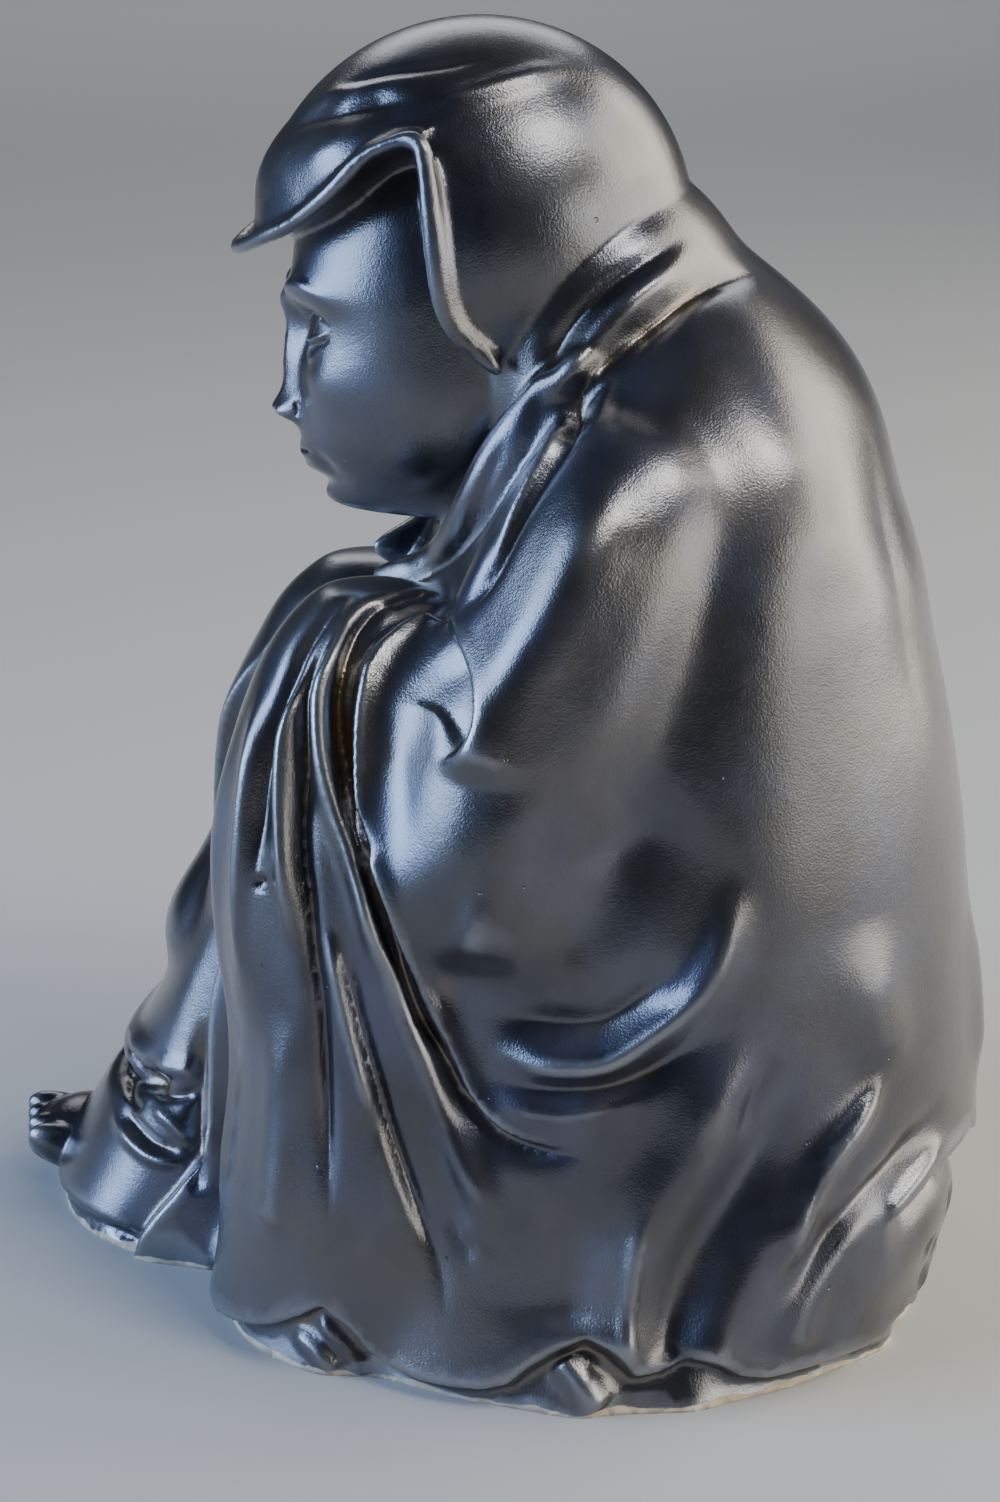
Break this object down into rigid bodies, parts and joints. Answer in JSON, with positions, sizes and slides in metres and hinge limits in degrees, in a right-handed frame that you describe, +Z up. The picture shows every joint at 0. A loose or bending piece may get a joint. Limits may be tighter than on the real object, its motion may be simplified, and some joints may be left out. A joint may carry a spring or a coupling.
{
  "type": "seated monk statue",
  "caption": "Table statue of a seated monk in a hooded cloak with the knees drawn up, black lustre glazed ceramic, on a flat base.",
  "frame": {"origin": "centre of the bounding box's underside, on the flat base", "axes": "+Z up, -Y the way the figure faces, +X the figure's own left side"},
  "size_m": [0.1374, 0.161, 0.2001],
  "materials": {
    "lustre_glaze": "glossy metallic black lustre glaze with a gunmetal and blue-violet sheen, thinner and browner in the folds"
  },
  "bodies": {
    "root": {"statue": "lustre_glaze"}
  },
  "joints": []
}
